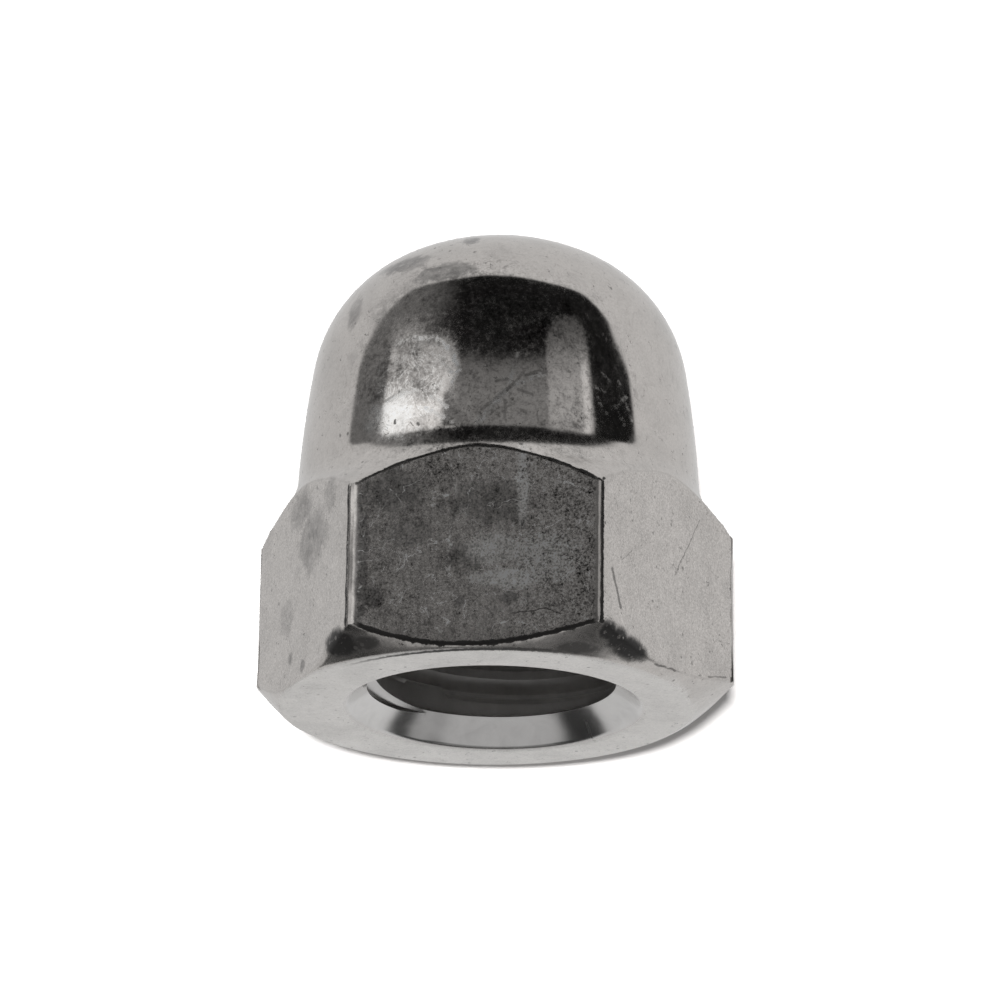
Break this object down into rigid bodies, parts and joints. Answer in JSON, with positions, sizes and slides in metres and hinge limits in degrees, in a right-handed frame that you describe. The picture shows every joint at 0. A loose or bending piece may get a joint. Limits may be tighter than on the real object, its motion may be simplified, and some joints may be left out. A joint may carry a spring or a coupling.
{
  "type": "domed cap nut",
  "caption": "Domed cap nut: a hexagon with a closed dome on top and a blind threaded hole that covers the end of a screw.",
  "frame": {"origin": "middle of the flat bearing face, on the thread's axis", "axes": "+Z along the thread's axis, towards the crown of the dome; one pair of flats faces along Y"},
  "size_m": [0.0272, 0.024, 0.028],
  "materials": {
    "plated_steel": "bright plated steel, smooth on the dome, scuffed and stained on the flats"
  },
  "bodies": {
    "root": {"cap_nut": "plated_steel"}
  },
  "joints": []
}
